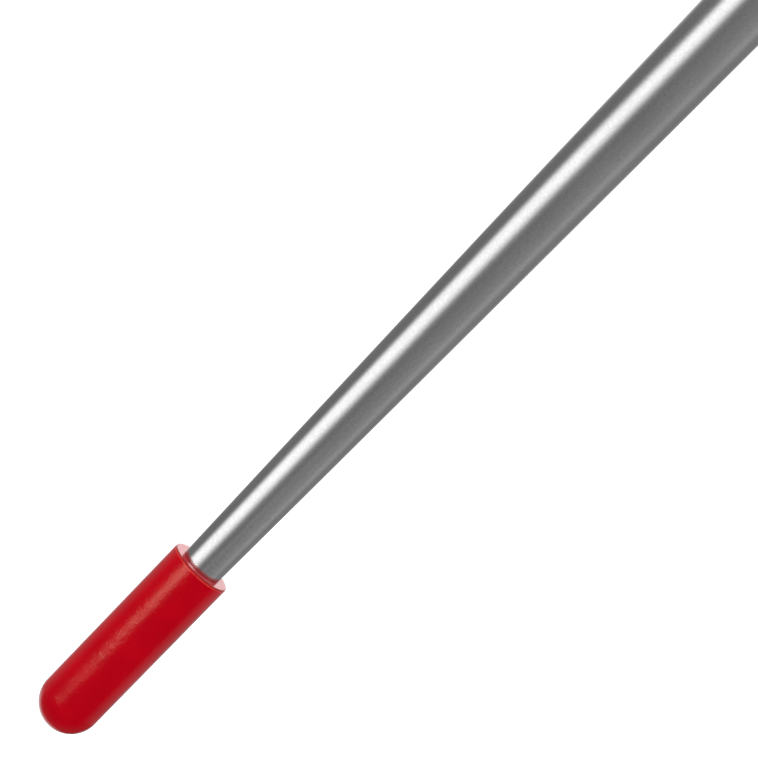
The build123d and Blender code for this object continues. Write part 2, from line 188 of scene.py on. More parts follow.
def grid_object(name, grid, low_pole=None, high_pole=None, wrap_rows=False, sharp=32):
    """An object from a grid that closes round its columns."""
    vertices, faces = closed_grid(grid, low_pole, high_pole, wrap_rows)
    return mesh_object(name, vertices, faces, sharp)


def turned_grid(outline, columns):
    """A surface of revolution: (r cos a, r sin a, z) for each (r, z) of the outline."""
    a = np.linspace(0, 2 * np.pi, columns, endpoint=False)
    r, z = outline[:, 0][:, None], outline[:, 1][:, None]
    return np.stack([r * np.cos(a), r * np.sin(a), z + 0 * a], axis=-1)


def turned(name, outline, columns=160, sharp=32):
    """A closed turned piece: its outline runs from the axis, out, up and back to it."""
    grid = turned_grid(outline[1:-1], columns)
    low, high = (0, 0, outline[0][1]), (0, 0, outline[-1][1])
    return grid_object(name, grid, low, high, sharp=sharp)


# --- shader node groups ---------------------------------------------------------------

WAVE_SHARE = 0.375          # of the moulded skin's height; fine grain is the rest
MARKS_ROUND = (0.05, 0.05, 1.0)     # stretch of the noise for marks round the axis
MARKS_ALONG = (1.0, 1.0, 0.02)      # and along it
FLECK_SHARE = 0.6           # of the ground metal's shade; clouds are the rest
SPECK_EDGE = (0.03, 0.09)   # where a speck fades, in cells from the cell's middle
SPECK_RARITY = (0.6, 0.66)  # noise from which a cell has a speck
EDGE_FACING = (0.72, 0.99)  # cosines from fully rubbed to flat
EDGE_KEPT = (0.38, 0.6)     # noise that leaves gaps in the rubbed edges
# distances from a weld bead at which the heat tints set in and end, in metres
TINT_WANDER = 0.006
BLUE_RISE = (0.006, 0.0085)
BLUE_FALL = (0.009, 0.012)
STRAW_FALL = (0.009, 0.017)


def new_group(name, inputs, outputs):
    """An empty shader group: float inputs {name: default} and float outputs by name."""
    group = bpy.data.node_groups.new(name, "ShaderNodeTree")
    add = group.interface.new_socket
    for label, value in inputs.items():
        add(label, in_out="INPUT", socket_type="NodeSocketFloat").default_value = value
    for label in outputs:
        add(label, in_out="OUTPUT", socket_type="NodeSocketFloat")
    return group, group.nodes.new("NodeGroupInput"), group.nodes.new("NodeGroupOutput")


def give_out(group, out, **values):
    """Links values to the group's outputs of the same names."""
    for label, value in values.items():
        group.links.new(value, out.inputs[label])


def node(tree, kind, links=None, **settings):
    """A node of that kind: settings are its properties, links its inputs or values."""
    made = tree.nodes.new(kind)
    for key, value in settings.items():
        setattr(made, key, value)
    for key, value in (links or {}).items():
        if isinstance(value, bpy.types.NodeSocket):
            tree.links.new(value, made.inputs[key])
        else:
            made.inputs[key].default_value = value
    return made


def maths(tree, operation, *values):
    """The output of a Math node with that operation on the values."""
    return node(
        tree, "ShaderNodeMath", dict(enumerate(values)), operation=operation
    ).outputs[0]


def scaled(tree, value, factor, offset=0.0):
    """value * factor + offset."""
    return maths(tree, "MULTIPLY_ADD", value, factor, offset)


def product(tree, first, second):
    """first * second."""
    return maths(tree, "MULTIPLY", first, second)


def ramp_between(tree, value, low, high, first=0.0, last=1.0):
    """Runs smoothly from first to last while value goes from low to high."""
    return node(
        tree, "ShaderNodeMapRange",
        {"Value": value, "From Min": low, "From Max": high,
         "To Min": first, "To Max": last},
        interpolation_type="SMOOTHSTEP",
    ).outputs[0]


def between(tree, value, rise, fall):
    """1 between two ramps and 0 outside them; each is a (start, end) of value."""
    return product(
        tree, ramp_between(tree, value, *rise), ramp_between(tree, value, *fall, 1.0, 0.0)
    )


def object_place(tree):
    """The Object coordinates."""
    return node(tree, "ShaderNodeTexCoord").outputs["Object"]


def noise(tree, place, scale, detail, **more):
    """A noise pattern of that scale and detail at a place."""
    return node(
        tree, "ShaderNodeTexNoise",
        {"Vector": place, "Scale": scale, "Detail": detail, **more},
    ).outputs["Fac"]


def moulded_grain_group():
    """Moulded skin: slow waves and fine grain for height, patches for gloss and shade."""
    group, given, out = new_group(
        "moulded_grain",
        {"Size": 900.0, "Wave Size": 230.0, "Gloss Base": 0.3, "Gloss Change": 0.1},
        ["Height", "Roughness", "Shade"],
    )
    place = object_place(group)
    grain = noise(group, place, given.outputs["Size"], detail=3.0, Roughness=0.6)
    waves = noise(group, place, given.outputs["Wave Size"], detail=1.0)
    patches = noise(group, place, scale=60.0, detail=3.0)
    height = maths(
        group, "ADD", scaled(group, waves, WAVE_SHARE), scaled(group, grain, 1 - WAVE_SHARE)
    )
    gloss = maths(
        group, "MULTIPLY_ADD", scaled(group, patches, 1.0, -0.5),
        given.outputs["Gloss Change"], given.outputs["Gloss Base"],
    )
    give_out(group, out, Height=height, Roughness=gloss, Shade=patches)
    return group


def ground_finish_group():
    """Ground metal: fine marks round the axis, faint cloudiness, sparse dark specks.

    Marks are noise squeezed along Z, so that they run round a turned piece; Along at 1
    stretches them along Z instead, as on drawn tube. Ripple adds low, wider waves.
    """
    group, given, out = new_group(
        "ground_finish",
        {"Marks": 2600.0, "Along": 0.0, "Ripple": 0.0, "Gloss Base": 0.25,
         "Gloss Change": 0.08, "Specks": 0.0},
        ["Height", "Roughness", "Speck", "Shade"],
    )
    place = object_place(group)
    round_axis, along_axis = (
        node(group, "ShaderNodeMapping", {"Vector": place, "Scale": stretch}).outputs[0]
        for stretch in (MARKS_ROUND, MARKS_ALONG)
    )
    either = node(
        group, "ShaderNodeMix",
        {0: given.outputs["Along"], 4: round_axis, 5: along_axis}, data_type="VECTOR",
    ).outputs[1]
    marks = noise(group, either, given.outputs["Marks"], detail=3.0)
    cloud = noise(group, place, scale=35.0, detail=4.0)
    fine = noise(group, place, scale=420.0, detail=2.0)
    flecks = noise(group, place, scale=850.0, detail=3.0)
    gloss = maths(
        group, "MULTIPLY_ADD", scaled(group, maths(group, "ADD", cloud, marks), 1.0, -1.0),
        given.outputs["Gloss Change"], given.outputs["Gloss Base"],
    )
    dots = node(group, "ShaderNodeTexVoronoi", {"Vector": place, "Scale": 150.0})
    few = noise(group, place, scale=70.0, detail=1.0)
    near = ramp_between(group, dots.outputs["Distance"], *SPECK_EDGE, 1.0, 0.0)
    sparse = ramp_between(group, few, *SPECK_RARITY)
    speck = product(group, product(group, near, sparse), given.outputs["Specks"])
    shade = maths(
        group, "ADD",
        scaled(group, cloud, 1 - FLECK_SHARE), scaled(group, flecks, FLECK_SHARE),
    )
    height = maths(group, "MULTIPLY_ADD", fine, given.outputs["Ripple"], marks)
    give_out(group, out, Height=height, Roughness=gloss, Speck=speck, Shade=shade)
    return group


def worn_edge_group():
    """Where an edge is rubbed: the angle between a rounded and the true normal."""
    group, given, out = new_group(
        "worn_edge", {"Radius": 0.0006, "Patchiness": 90.0}, ["Mask"]
    )
    rounded = node(group, "ShaderNodeBevel", {"Radius": given.outputs["Radius"]}, samples=4)
    true_normal = node(group, "ShaderNodeNewGeometry").outputs["Normal"]
    facing = node(
        group, "ShaderNodeVectorMath", {0: rounded.outputs[0], 1: true_normal},
        operation="DOT_PRODUCT",
    ).outputs["Value"]
    edge = ramp_between(group, facing, *EDGE_FACING, 1.0, 0.0)
    patchy = noise(group, object_place(group), given.outputs["Patchiness"], detail=4.0)
    kept = ramp_between(group, patchy, *EDGE_KEPT)
    give_out(group, out, Mask=product(group, edge, kept))
    return group


def heat_tint_group():
    """Straw and blue bands beside the welds: rings round the four feet and the top seam."""
    group, _, out = new_group("heat_tint", {}, ["Straw", "Blue"])
    place = object_place(group)
    axes = node(group, "ShaderNodeSeparateXYZ", {0: place})
    side = maths(group, "ABSOLUTE", axes.outputs["X"])
    height = scaled(group, axes.outputs["Z"], 1.0, -(FOOT_LOW + FOOT_HIGH) / 2)
    level = maths(group, "ABSOLUTE", height)
    folded = node(
        group, "ShaderNodeCombineXYZ", {"X": side, "Y": axes.outputs["Y"], "Z": level}
    ).outputs[0]
    foot = (TUBE_R, 0, (FOOT_HIGH - FOOT_LOW) / 2)
    reach = node(
        group, "ShaderNodeVectorMath", {0: folded, 1: foot}, operation="DISTANCE"
    ).outputs["Value"]
    above = scaled(group, axes.outputs["Z"], 1.0, -TUBE_TOP)
    seam = scaled(group, maths(group, "ABSOLUTE", above), 1.0, HANDLE_R)
    nearest = maths(group, "MINIMUM", reach, seam)
    cloud = noise(group, place, scale=140.0, detail=3.0)
    nearest = maths(group, "MULTIPLY_ADD", cloud, TINT_WANDER, nearest)
    blue_rise, blue_fall, straw_fall = (
        tuple(HANDLE_R + limit for limit in limits)
        for limits in (BLUE_RISE, BLUE_FALL, STRAW_FALL)
    )
    blue = between(group, nearest, blue_rise, blue_fall)
    straw = ramp_between(group, nearest, *straw_fall, 1.0, 0.0)
    give_out(group, out, Straw=straw, Blue=blue)
    return group


MOULDED_GRAIN = moulded_grain_group()
GROUND_FINISH = ground_finish_group()
WORN_EDGE = worn_edge_group()
HEAT_TINT = heat_tint_group()


# --- materials ------------------------------------------------------------------------


def new_material(name, colour, metallic=0.0, **sockets):
    """A Principled material with its constant sockets set, its tree and its shader."""
    material = bpy.data.materials.new(name)
    material.use_nodes = True
    tree = material.node_tree
    shader = tree.nodes["Principled BSDF"]
    shader.inputs["Base Color"].default_value = (*colour, 1)
    shader.inputs["Metallic"].default_value = metallic
    for label, value in sockets.items():
        shader.inputs[label.replace("_", " ")].default_value = value
    return material, tree, shader


def placed_group(tree, group, **values):
    """A group node in a material, with that material's own values."""
    made = node(tree, "ShaderNodeGroup", node_tree=group)
    for label, value in values.items():
        made.inputs[label.replace("_", " ")].default_value = value
    return made


def bump(tree, shader, height, distance, strength=1.0):
    """A height fed to the shader's normal."""
    made = node(
        tree, "ShaderNodeBump",
        {"Height": height, "Distance": distance, "Strength": strength},
    )
    tree.links.new(made.outputs[0], shader.inputs["Normal"])


def blended(tree, share, first, second):
    """A mix from first to second by share; each is a colour or a colour output."""
    mix = node(tree, "ShaderNodeMix", {0: share}, data_type="RGBA")
    for socket, value in zip([s for s in mix.inputs if s.type == "RGBA"], (first, second)):
        if isinstance(value, bpy.types.NodeSocket):
            tree.links.new(value, socket)
        else:
            socket.default_value = (*value, 1)
    return [s for s in mix.outputs if s.type == "RGBA"][0]


def shades(colour, factor):
    """A colour made darker or lighter by factor."""
    return tuple(min(1.0, factor * c) for c in colour)


def band(tree, level, mouth, line):
    """1 on a line round a piece below its mouth: (lower, upper, softness) from it down."""
    lower, upper, soft = line
    return between(
        tree, level,
        (mouth - lower - soft, mouth - lower), (mouth - upper, mouth - upper + soft),
    )


def vinyl(name, colour, gloss, wave_depth, specular=0.5, skin=0.0, mouth=None):
    """Moulded vinyl: deep colour, waves and grain, uneven gloss, edges rubbed duller.

    The skin is a clear gloss that shows where the surface turns away from the eye. A
    piece with a cut mouth at that height has the skin all over its cut face, a painted
    shade line, dark red, at the rim and a painted highlight line, paler, below it.
    """
    material, tree, shader = new_material(
        name, colour, IOR=1.5, Specular_IOR_Level=specular, Coat_IOR=1.5,
        Coat_Roughness=0.07,
    )
    grain = placed_group(tree, MOULDED_GRAIN, Gloss_Base=gloss, Gloss_Change=0.12)
    worn = placed_group(tree, WORN_EDGE, Radius=0.0005).outputs["Mask"]
    mottled = blended(
        tree, ramp_between(tree, grain.outputs["Shade"], *VINYL_MOTTLE),
        shades(colour, VINYL_DARKER), shades(colour, VINYL_LIGHTER),
    )
    tint = blended(
        tree, scaled(tree, worn, VINYL_RUBBED), mottled, shades(colour, VINYL_PALE)
    )
    height = grain.outputs["Height"]
    if mouth is not None:
        level = node(tree, "ShaderNodeSeparateXYZ", {0: object_place(tree)}).outputs["Z"]
        cut = ramp_between(tree, level, *(mouth - depth for depth in CUT_FACE))
        # painted shade: a dark red line just below the rim's edge
        painted_shade = band(tree, level, mouth, PAINTED_SHADE_LINE)
        # painted highlight, held in rubbed: a paler orange line on the rim's rounding, patchy with the grain
        rubbed = product(
            tree, band(tree, level, mouth, PAINTED_HIGHLIGHT_LINE),
            ramp_between(tree, height, *HIGHLIGHT_GRAIN, HIGHLIGHT_LEAST, 1.0),
        )
        # the painted shade line and the painted highlight line go into the base colour
        tint = blended(tree, painted_shade, tint, PAINTED_SHADE_RED)
        tint = blended(tree, rubbed, tint, PAINTED_HIGHLIGHT_RED)
    rough = maths(tree, "MULTIPLY_ADD", worn, VINYL_DULLER, grain.outputs["Roughness"])
    tree.links.new(tint, shader.inputs["Base Color"])
    tree.links.new(rough, shader.inputs["Roughness"])
    if skin:
        facing = node(tree, "ShaderNodeLayerWeight", {"Blend": 0.5}).outputs["Facing"]
        coat = ramp_between(tree, facing, *SKIN_FACING, 0.0, skin)
        if mouth is not None:
            coat = maths(tree, "MAXIMUM", coat, cut)
            height = product(tree, height, scaled(tree, cut, -1.0, 1.0))
        tree.links.new(coat, shader.inputs["Coat Weight"])
    bump(tree, shader, height, wave_depth)
    return material


def steel(
    name, colour, gloss, specks=0.0, mark_depth=0.000002, marks=2600.0, along=0.0,
    ripple=0.0, change=0.1, mottle=0.04, worn=0.0, tinted=False,
):
    """Bare steel: ground or drawn marks, faint mottle, specks, rubbed edges, weld tints."""
    material, tree, shader = new_material(name, colour, metallic=1.0)
    finish = placed_group(
        tree, GROUND_FINISH, Marks=marks, Along=along, Ripple=ripple, Gloss_Base=gloss,
        Gloss_Change=change, Specks=specks,
    )
    tint = blended(
        tree, ramp_between(tree, finish.outputs["Shade"], *STEEL_MOTTLE),
        shades(colour, 1 - mottle), shades(colour, 1 + mottle),
    )
    tint = blended(tree, finish.outputs["Speck"], tint, shades(colour, SPECK_SHADE))
    if tinted:
        heat = placed_group(tree, HEAT_TINT)
        tint = blended(tree, scaled(tree, heat.outputs["Straw"], STRAW_SHARE), tint, STRAW)
        tint = blended(
            tree, scaled(tree, heat.outputs["Blue"], BLUE_SHARE), tint, TEMPER_BLUE
        )
    rough = finish.outputs["Roughness"]
    if worn:
        rubbed = placed_group(tree, WORN_EDGE).outputs["Mask"]
        tint = blended(tree, scaled(tree, rubbed, worn), tint, BRIGHT)
        rough = maths(tree, "MULTIPLY_ADD", rubbed, STEEL_SMOOTHER, rough)
    tree.links.new(tint, shader.inputs["Base Color"])
    tree.links.new(rough, shader.inputs["Roughness"])
    bump(tree, shader, finish.outputs["Height"], mark_depth)
    return material


# vinyl: noise range and shades of its mottle, and what rubbing does to shade and gloss
VINYL_MOTTLE = (0.3, 0.7)
VINYL_DARKER, VINYL_LIGHTER, VINYL_PALE = 0.94, 1.05, 1.3
VINYL_RUBBED = 0.3
VINYL_DULLER = 0.12
SKIN_FACING = (0.25, 0.52)  # how far the surface turns away before its skin shows
# painted shade and painted highlight lines round a cut mouth: lower and upper edge below it, and softness
PAINTED_SHADE_LINE = (0.4 * MM, 0.05 * MM, 0.04 * MM)
PAINTED_HIGHLIGHT_LINE = (1.1 * MM, 0.55 * MM, 0.12 * MM)
CUT_FACE = (0.1 * MM, 0.02 * MM)    # depths between which the cut face sets in
HIGHLIGHT_GRAIN = (0.42, 0.56)         # grain heights from the faintest to the full painted highlight
HIGHLIGHT_LEAST = 0.35
PAINTED_SHADE_RED = (0.36, 0.006, 0.008)
PAINTED_HIGHLIGHT_RED = (0.84, 0.062, 0.048)

# steel: noise range of its mottle, shade of a speck, and rubbed and tinted places
STEEL_MOTTLE = (0.35, 0.65)
SPECK_SHADE = 0.35
STEEL_SMOOTHER = -0.08
STRAW_SHARE, BLUE_SHARE = 0.55, 0.6
BRIGHT = (0.78, 0.78, 0.78)
STRAW = (0.50, 0.36, 0.16)
TEMPER_BLUE = (0.13, 0.17, 0.34)

CAP_VINYL = vinyl(
    "red_vinyl", (0.66, 0.0004, 0.0105), 0.20, 0.00028, specular=0.03, skin=1.0,
    mouth=CAP_TOP,
)
GRIP_VINYL = vinyl("grip_vinyl", (0.55, 0.001, 0.010), 0.40, 0.0001, 0.2, skin=0.5)
SPIKE_STEEL = steel(
    "spike_steel", (0.60, 0.60, 0.603), 0.17, specks=0.4, mark_depth=0.0000012, ripple=12.0,
    change=0.05, mottle=0.05,
)
ROD_STEEL = steel("rod_steel", (0.66, 0.66, 0.665), 0.13, change=0.05)
TURNED_STEEL = steel(
    "turned_steel", (0.50, 0.50, 0.505), 0.30, mark_depth=0.000006, marks=1500.0, worn=0.7
)
TUBE_STEEL = steel(
    "tube_steel", (0.56, 0.56, 0.565), 0.30, mark_depth=0.000004, marks=1900.0, along=1.0,
    mottle=0.06, worn=0.6, tinted=True,
)
WELD_STEEL = steel(
    "weld_steel", (0.36, 0.35, 0.34), 0.40, mark_depth=0.00001, marks=700.0, mottle=0.2,
    tinted=True,
)
SPRING_STEEL = steel("spring_steel", (0.14, 0.14, 0.15), 0.42, mottle=0.15, worn=0.5)
SCREW_STEEL = steel("screw_steel", (0.62, 0.62, 0.64), 0.24, mottle=0.05, worn=0.5)
NYLON = vinyl("nylon", (0.78, 0.76, 0.70), 0.45, 0.00003)
RUBBER = vinyl("seal_rubber", (0.02, 0.02, 0.02), 0.55, 0.00005, specular=0.3)

BY_SLOT = {
    "red_vinyl": CAP_VINYL,
    "grip_vinyl": GRIP_VINYL,
    "spike_steel": SPIKE_STEEL,
    "rod_steel": ROD_STEEL,
    "turned_steel": TURNED_STEEL,
    "tube_steel": TUBE_STEEL,
    "weld_steel": WELD_STEEL,
    "spring_steel": SPRING_STEEL,
    "screw_steel": SCREW_STEEL,
    "nylon": NYLON,
    "seal_rubber": RUBBER,
}


def dress(piece, slot):
    """Gives a piece the material of that slot."""
    piece.data.materials.clear()
    piece.data.materials.append(BY_SLOT[slot])


def stand_for(piece, node_name, body):
    """Puts a new piece on its body in place of a node, with that node's finish."""
    slot = slot_of[node_name]
    dress(piece, slot)
    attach(piece, body)
    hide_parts(node_name)


slot_of = {s["node"]: s["material_slot"] for s in frame["record"]["subparts"]}
for name, cad_node in frame["nodes"].items():
    dress(cad_node, slot_of[name])


# --- tip cap --------------------------------------------------------------------------


def cap_outline():
    """Round end, drafted wall, softened rim, mouth face and socket."""
    point_base = SPIKE_LOW + POINT_LENGTH
    return joined(
        arc((0, CAP_END_R), CAP_END_R, -90, 0, 40),
        line((CAP_END_R, CAP_END_R), (CAP_MOUTH_R, CAP_TOP - CAP_RIM), 40),
        arc((CAP_MOUTH_R - CAP_RIM, CAP_TOP - CAP_RIM), CAP_RIM, 0, 90, 14),
        line((CAP_MOUTH_R - CAP_RIM, CAP_TOP), (NOSE_R + PUSH_FIT, CAP_TOP), 6),
        line(
            (NOSE_R + PUSH_FIT, CAP_TOP), (NOSE_R - NOSE_DRAFT + PUSH_FIT, point_base), 12
        ),
        line(
            (NOSE_R - NOSE_DRAFT + PUSH_FIT, point_base),
            (2 * POINT_FLAT, SPIKE_LOW - CAP_WELL), 8,
        ),
        line((2 * POINT_FLAT, SPIKE_LOW - CAP_WELL), (0, SPIKE_LOW - CAP_WELL), 3),
    )


tip_cap = turned("tip_cap_moulding", cap_outline(), columns=192)
stand_for(tip_cap, "tip_cap", "cap")


# --- pilot spike ----------------------------------------------------------------------


def spike_outline():
    """Blunted point, nose, shoulder, flank (a cone plus 4 b t (1 - t)) and plain end."""
    point_base = SPIKE_LOW + POINT_LENGTH
    shoulder_top = SHOULDER_Z + SHOULDER_EDGE
    bevel_low = (SPIKE_LARGE, SPIKE_HIGH - TOP_BEVEL)
    bevel_high = (SPIKE_LARGE - TOP_BEVEL, SPIKE_HIGH)
    hole_t = (PIN_Z - shoulder_top) / (COLLAR_SEAT - shoulder_top)
    near_hole = hole_t + np.linspace(-HOLE_BAND, HOLE_BAND, 31)
    t = np.unique(np.concatenate([np.linspace(0, 1, 90), near_hole, FOOT_ROWS]))
    flank = np.column_stack([
        SPIKE_SMALL + (SPIKE_LARGE - SPIKE_SMALL) * t + 4 * FLANK_BULGE * t * (1 - t),
        shoulder_top + (COLLAR_SEAT - shoulder_top) * t,
    ])
    return joined(
        line((0, SPIKE_LOW), (POINT_FLAT, SPIKE_LOW), 3),
        line((POINT_FLAT, SPIKE_LOW), (NOSE_R - NOSE_DRAFT, point_base), 60),
        line((NOSE_R - NOSE_DRAFT, point_base), (NOSE_R, SHOULDER_Z), 40),
        line((NOSE_R, SHOULDER_Z), (SPIKE_SMALL - SHOULDER_EDGE, SHOULDER_Z), 3),
        arc((SPIKE_SMALL - SHOULDER_EDGE, shoulder_top), SHOULDER_EDGE, -90, 0, 6),
        flank,
        line((SPIKE_LARGE, COLLAR_SEAT), bevel_low, 3),
        line(bevel_low, bevel_high, 3),
        line(bevel_high, (0, SPIKE_HIGH), 3),
    )


def faceted(grid):
    """Cuts flat facets on the point: r = min(r, a(z) / cos(angle to the facet))."""
    x, y, z = grid[..., 0], grid[..., 1], grid[..., 2]
    facet_top = SPIKE_LOW + POINT_LENGTH * (1 + FACET_SHARE)
    tip_half = POINT_FLAT * math.cos(math.pi / FACETS)
    rise = (z - SPIKE_LOW) / (facet_top - SPIKE_LOW)
    half = tip_half + (NOSE_R - FACET_BITE - tip_half) * rise
    step = 2 * np.pi / FACETS
    off = np.mod(np.arctan2(y, x) + step / 2, step) - step / 2
    r = np.hypot(x, y)
    allowed = np.where(z < facet_top, half / np.cos(off), r)
    scale = np.minimum(1.0, allowed / np.maximum(r, 1e-9))
    return np.stack([x * scale, y * scale, z], axis=-1)


def drill(piece, cutter, sharp):
    """Cuts the cutter's shape out of a piece and removes the cutter."""
    cut = piece.modifiers.new("drilled", "BOOLEAN")
    cut.operation = "DIFFERENCE"
    cut.solver = "EXACT"
    cut.object = cutter
    drilled = bpy.data.meshes.new_from_object(
        piece.evaluated_get(bpy.context.evaluated_depsgraph_get())
    )
    piece.modifiers.clear()
    piece.data = drilled
    drilled.set_sharp_from_angle(angle=math.radians(sharp))
    bpy.data.objects.remove(cutter)


def make_spike():
    """The spike's turned and faceted surface with the lock pin's hole along Y."""
    grid = faceted(turned_grid(spike_outline()[1:-1], 192))
    spike = grid_object(
        "pilot_spike_bar", grid, (0, 0, SPIKE_LOW), (0, 0, SPIKE_HIGH), sharp=SPIKE_SHARP
    )
    reach = 2 * SPIKE_LARGE
    hole_r = PIN_R + SEAT_GAP
    along_z = turned_grid(np.array([[hole_r, -reach], [hole_r, reach]]), 64)
    along_y = np.stack([along_z[..., 0], along_z[..., 2], PIN_Z - along_z[..., 1]], axis=-1)
    hole = grid_object("pin_hole", along_y, (0, -reach, PIN_Z), (0, reach, PIN_Z))
    drill(spike, hole, SPIKE_SHARP)
    return spike


stand_for(make_spike(), "pilot_spike", "bar")


# --- mouth screws: button heads with a hexagon socket ------------------------------------

SCREW_COUNT = 4
SCREW_R = 4.0 * MM
SCREW_HEAD_R = 7.0 * MM
SCREW_SEAT = 41.5 * MM
SCREW_HEAD = 4.4 * MM
SCREW_EDGE = 1.0 * MM       # plain edge of the head below its dome
SOCKET_HALF = 2.5 * MM      # half of the hexagon's width over flats
SOCKET_DEPTH = 2.8 * MM
SOCKET_BEVEL = 0.3 * MM
SOCKET_RIM = 1.1 * SOCKET_HALF
SCREW_FLAT_R = 1.35 * SOCKET_HALF   # flat on top of the dome, round the socket
SCREW_TURN = 45             # degrees from +X to the first screw
SCREW_START = 33.65 * MM
SCREW_Z = (box("mouth_screws")[0][2] + box("mouth_screws")[1][2]) / 2


def screw_rings():
    """(height, circle radius, hexagon half width) of each ring from shank to socket."""
    rise = np.linspace(0, 1, 14)
    dome_r = SCREW_HEAD_R + (SCREW_FLAT_R - SCREW_HEAD_R) * rise
    dome_h = SCREW_EDGE + (SCREW_HEAD - SCREW_EDGE) * np.sqrt(1 - (1 - rise) ** 2)
    top = SCREW_SEAT + SCREW_HEAD
    return [
        (SCREW_START, SCREW_R, 0),
        (SCREW_SEAT, SCREW_R, 0),
        (SCREW_SEAT, SCREW_HEAD_R, 0),
        *((SCREW_SEAT + h, r, 0) for r, h in zip(dome_r, dome_h)),
        (top, 0, SOCKET_RIM),
        (top - SOCKET_BEVEL, 0, SOCKET_HALF),
        (top - SOCKET_DEPTH, 0, SOCKET_HALF),
    ]


def make_screws():
    """Each ring is a circle r or a hexagon a / cos(angle to its flat), along the axis."""
    angle = np.linspace(0, 2 * np.pi, 72, endpoint=False)
    off = np.mod(angle + np.pi / 6, np.pi / 3) - np.pi / 6
    height, circle, flat = np.array(screw_rings()).T[:, :, None]
    radius = circle + flat / np.cos(off)
    up = np.array([0, 0, 1.0])
    centre = np.array([0, 0, SCREW_Z])
    screws = []
    for k in range(SCREW_COUNT):
        turn = math.radians(SCREW_TURN + 360 / SCREW_COUNT * k)
        outward = np.array([math.cos(turn), math.sin(turn), 0])
        across = np.array([-math.sin(turn), math.cos(turn), 0])
        grid = (
            centre + height[..., None] * outward
            + (radius * np.cos(angle))[..., None] * across
            + (radius * np.sin(angle))[..., None] * up
        )
        low = centre + SCREW_START * outward
        high = centre + (SCREW_SEAT + SCREW_HEAD - SOCKET_DEPTH) * outward
        screws.append(closed_grid(grid, low, high))
    return mesh_object("mouth_screw_heads", *together(screws), sharp=35)


stand_for(make_screws(), "mouth_screws", "driver")


# --- grips: ribbed vinyl sleeves ----------------------------------------------------------

GRIP_R = (box("grip_right")[1][1] - box("grip_right")[0][1]) / 2
GRIP_EDGE = 2.5 * MM
GRIP_GROOVES = 6
GRIP_GROOVE_PITCH = 18.0 * MM
GRIP_GROOVE_DEPTH = 1.4 * MM
RIB_PITCH = 2.25 * MM
RIB_DEPTH = 0.45 * MM
RIB_MARGIN = 14.0 * MM      # plain length at each end of the sleeve


def grip_outline(low, high):
    """Sleeve profile: r = R - d (1 - |cos|) ribs, V grooves, rounded ends, plain bore."""
    middle = (low + high) / 2
    z = np.linspace(low + GRIP_EDGE, high - GRIP_EDGE, 440)
    off = z - middle
    ribbed = np.clip((high - low) / 2 - RIB_MARGIN - np.abs(off), 0, RIB_PITCH) / RIB_PITCH
    rib = RIB_DEPTH * (0.5 + 0.5 * np.cos(2 * np.pi * off / RIB_PITCH)) * ribbed
    k = np.clip(
        np.round(off / GRIP_GROOVE_PITCH - 0.5), -GRIP_GROOVES / 2, GRIP_GROOVES / 2 - 1
    )
    from_groove = np.abs(off - (k + 0.5) * GRIP_GROOVE_PITCH)
    groove = np.maximum(GRIP_GROOVE_DEPTH - from_groove, 0)
    flank = np.column_stack([GRIP_R - np.maximum(rib, groove), z])
    bore = HANDLE_R + SEAT_GAP
    edge = GRIP_R - GRIP_EDGE
    return joined(
        line((bore, low), (edge, low), 3),
        arc((edge, low + GRIP_EDGE), GRIP_EDGE, -90, 0, 10),
        flank,
        arc((edge, high - GRIP_EDGE), GRIP_EDGE, 0, 90, 10),
        line((edge, high), (bore, high), 3),
        line((bore, high), (bore, low), 4)[:-1],
    )


def make_grip(hand, side):
    """One sleeve: the outline turned round its handle's straight length."""
    low, high = box(f"grip_{hand}")
    grid = turned_grid(grip_outline(low[2], high[2]), 96)
    grid = grid + np.array([side * HANDLE_X, 0, 0])
    return grid_object(f"grip_sleeve_{hand}", grid, wrap_rows=True, sharp=50)


for hand, side in (("right", 1), ("left", -1)):
    stand_for(make_grip(hand, side), f"grip_{hand}", "driver")


# --- weld beads: rippled runs in the top seam and round the handles' feet -----------------

WELD_LEG = 4.5 * MM
WELD_PREP = 3.0 * MM
WELD_ROOT = 0.6 * MM        # how far the bead reaches into what it joins
TOP_RIPPLES = 96
FOOT_RIPPLES = 34
RIPPLE_COLUMNS = 7          # mesh columns in each ripple
RIPPLE_DEPTH = 0.28 * MM
SCALE_LEAN = 0.6            # makes a ripple rise faster than it drops
WANDER = 0.18 * MM
BEAD_SWELL = 0.35 * MM      # how far a bead's middle stands proud
SWELL_SLANT = 0.7           # share of the swell along each of the two joined faces
CROWN_SHARE = 0.72          # height of the top bead in its node's box
CROWN_GAP = 0.02 * MM       # least room left above its ripples
TOE_GAP = 0.15 * MM         # and beside each toe
TOP_CALM = 0.4              # share of the wander and of the skew in the top bead


def ripples(angle, count, seed):
    """Overlapping scales along a bead: a saw that rises and drops, plus a slow wander."""
    phase = np.mod(count * angle / (2 * np.pi), 1)
    scale = np.sin(np.pi * phase ** SCALE_LEAN)
    wander = sum(np.sin(k * angle + 1.7 * seed * k) / k for k in (2, 3, 5, 7))
    return RIPPLE_DEPTH * (scale - 0.5), WANDER * wander / 2


